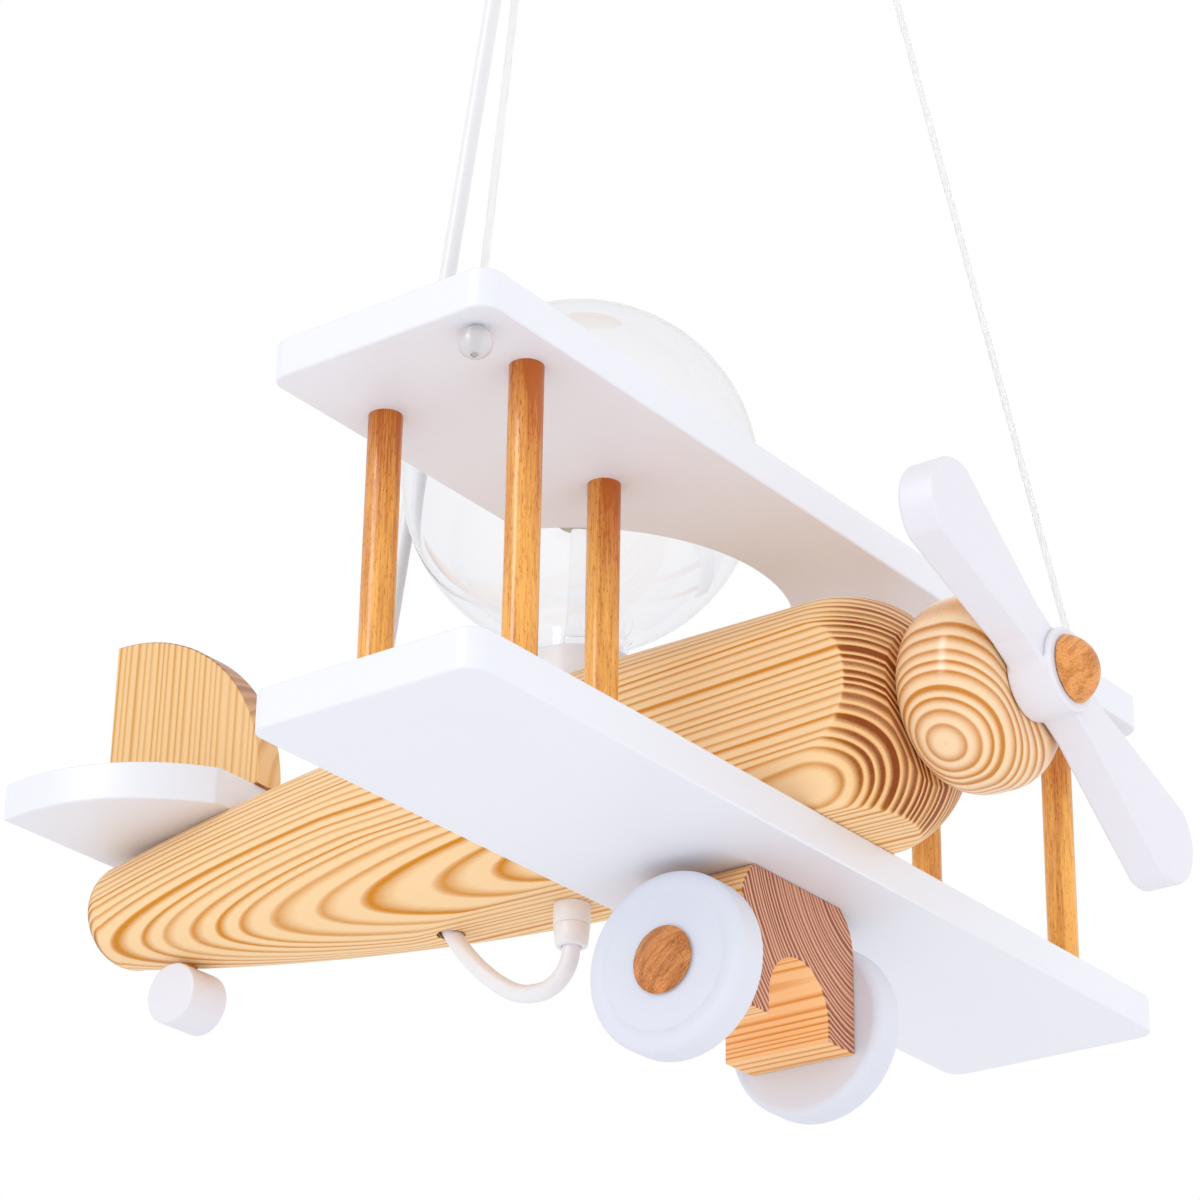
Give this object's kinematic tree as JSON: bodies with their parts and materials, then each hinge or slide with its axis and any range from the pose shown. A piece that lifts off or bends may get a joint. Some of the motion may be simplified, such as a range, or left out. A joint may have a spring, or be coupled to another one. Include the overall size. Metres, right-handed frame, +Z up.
{
  "type": "biplane pendant lamp",
  "caption": "Wooden biplane pendant lamp with a clear globe bulb in the upper wing's notch, turning propeller and wheels, hung from a ceiling rose by clear lines and its cable.",
  "frame": {"origin": "middle of the ceiling rose's top face, which lies on the ceiling", "axes": "+X towards the nose and propeller, +Y towards the left wing tip, +Z up"},
  "size_m": [0.4137, 0.384, 0.6833],
  "materials": {
    "pine": "oiled",
    "pine_light": "oiled",
    "beech": "oiled",
    "white_paint": "satin white paint",
    "white_plastic": "satin",
    "clear_line": "clear",
    "glass": "clear",
    "brass": "bright"
  },
  "bodies": {
    "airframe": {"ceiling_rose": "pine", "terminal_block": "white_plastic", "line_right": "clear_line", "line_left": "clear_line", "line_bead_right": "clear_line", "line_bead_left": "clear_line", "line_sleeve_right": "brass", "line_sleeve_left": "brass", "power_cable": "white_plastic", "upper_wing": "white_paint", "lower_wing": "white_paint", "strut_right_front": "beech", "strut_right_rear": "beech", "strut_right_inner": "beech", "strut_left_front": "beech", "strut_left_rear": "beech", "strut_left_inner": "beech", "fuselage": "pine", "wing_dowels": "beech", "cowl": "pine_light", "cowl_dowel": "beech", "propeller_peg": "beech", "gear_block": "pine", "gear_dowels": "beech", "axle_peg_right": "beech", "axle_peg_left": "beech", "tailplane": "white_paint", "fin": "pine_light", "tail_dowels": "beech", "tail_roller": "white_paint", "roller_pin": "beech", "lamp_holder": "white_plastic", "holder_contact": "brass", "cable_gland": "white_plastic", "gland_nut": "white_plastic"},
    "propeller": {"propeller": "white_paint"},
    "wheel_right": {"wheel_right": "white_paint"},
    "wheel_left": {"wheel_left": "white_paint"},
    "bulb_foot": {"bulb_contact": "brass"},
    "bulb": {"bulb_cap": "brass", "bulb_glass": "glass", "bulb_stem": "glass", "bulb_filament": "brass"}
  },
  "joints": [
    {"name": "propeller_spin", "type": "hinge", "parent": "airframe", "child": "propeller", "pos_m": [0.16365, 0, -0.571], "axis": [1, 0, 0], "continuous": true},
    {"name": "wheel_right_spin", "type": "hinge", "parent": "airframe", "child": "wheel_right", "pos_m": [0.05, -0.03835, -0.654], "axis": [0, 1, 0], "continuous": true},
    {"name": "wheel_left_spin", "type": "hinge", "parent": "airframe", "child": "wheel_left", "pos_m": [0.05, 0.03835, -0.654], "axis": [0, 1, 0], "continuous": true},
    {"name": "bulb_rise", "type": "slide", "parent": "airframe", "child": "bulb_foot", "axis": [0, 0, 1], "range_m": [0, 0.01448]},
    {"name": "bulb_turn", "type": "hinge", "parent": "bulb_foot", "child": "bulb", "pos_m": [-0.02, 0, -0.551], "axis": [0, 0, 1], "range_deg": [0, 1440]}
  ],
  "couplings": [
    {"joint": "bulb_rise", "follows": "bulb_turn", "m_per_rad": 0.000576}
  ]
}
